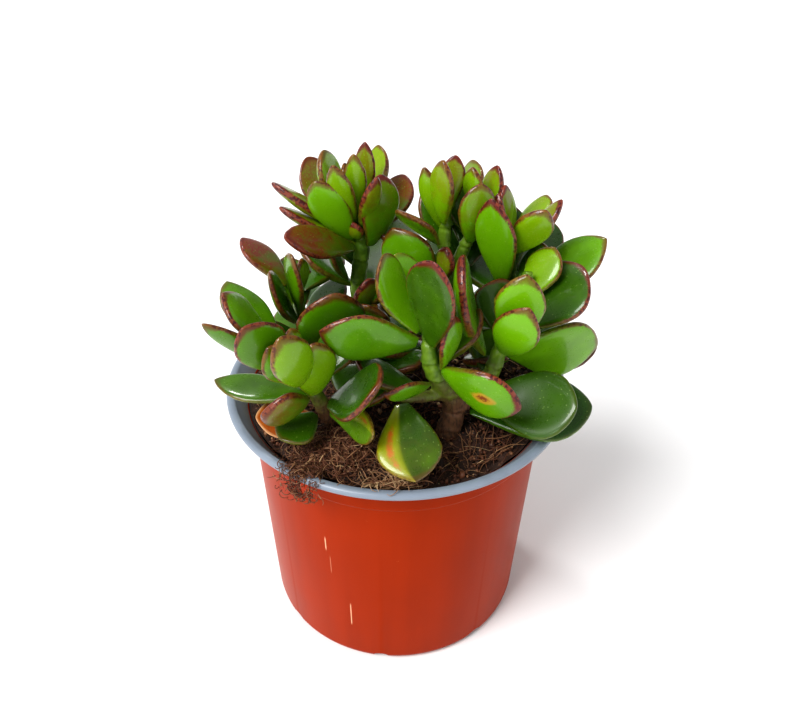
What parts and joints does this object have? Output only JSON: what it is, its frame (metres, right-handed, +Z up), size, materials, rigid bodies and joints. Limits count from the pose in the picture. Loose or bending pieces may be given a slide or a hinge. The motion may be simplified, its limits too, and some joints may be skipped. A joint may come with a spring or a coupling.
{
  "type": "potted jade plant",
  "caption": "Small jade plant, a branching succulent with thick glossy red-edged leaves, in a round tapered nursery pot with soil.",
  "frame": {"origin": "centre of the pot's base, on the surface it stands on", "axes": "+Z up along the pot's axis; -Y is the front, the side with the soil heap"},
  "size_m": [0.1139, 0.105, 0.1543],
  "materials": {
    "pot": "terracotta-orange injection-moulded plastic, blue-grey inner face and rolled lip, faint scratches",
    "soil": "dark brown peat and coir fibre, dry and fibrous",
    "stem": "succulent stem, green at the top and corky brown at the foot",
    "green": "mature glossy succulent leaf, lime to deep green, dark red grained margin",
    "young": "young upright leaf, bright yellow-green with a red tip",
    "blush": "sun-flushed leaf, brownish red over green",
    "turning": "ageing leaf, yellow-green with orange and red streaks",
    "dead": "fallen dry leaf, orange-brown"
  },
  "bodies": {
    "root": {"pot": "pot", "soil": "soil", "stem_tall_left": "stem", "stem_mid_left": "stem", "stem_front_left": "stem", "stem_front": "stem", "stem_tall_middle": "stem", "stem_back_right": "stem", "leaf_tall_left_1": "blush", "leaf_tall_left_2": "young", "leaf_tall_left_3": "green", "leaf_tall_left_4": "blush", "leaf_tall_left_5": "young", "leaf_tall_left_6": "green", "leaf_tall_left_7": "blush", "leaf_tall_left_8": "green", "leaf_mid_left_1": "blush", "leaf_mid_left_2": "green", "leaf_mid_left_3": "green", "leaf_mid_left_4": "green", "leaf_mid_left_5": "green", "leaf_mid_left_6": "green", "leaf_front_left_1": "green", "leaf_front_left_2": "green", "leaf_front_left_3": "green", "leaf_front_left_4": "green", "leaf_front_left_5": "green", "leaf_front_left_6": "young", "leaf_front_left_7": "green", "leaf_front_left_8": "blush", "leaf_front_left_9": "green", "leaf_front_left_10": "dead", "leaf_front_left_11": "green", "leaf_front_left_12": "turning", "leaf_front_1": "green", "leaf_front_2": "green", "leaf_front_3": "green", "leaf_front_4": "green", "leaf_front_5": "green", "leaf_front_6": "green", "leaf_front_7": "green", "leaf_front_8": "green", "leaf_front_twig_1": "turning", "leaf_right_1": "green", "leaf_right_2": "green", "leaf_right_3": "green", "leaf_right_4": "green", "leaf_right_5": "green", "leaf_right_6": "green", "leaf_right_7": "green", "leaf_tall_middle_1": "young", "leaf_tall_middle_2": "green", "leaf_tall_middle_3": "green", "leaf_tall_middle_4": "green", "leaf_tall_middle_fork_1": "green", "leaf_back_right_1": "green", "leaf_back_right_2": "young", "leaf_back_right_3": "green", "leaf_back_right_4": "green", "leaf_back_right_5": "green"}
  },
  "joints": []
}
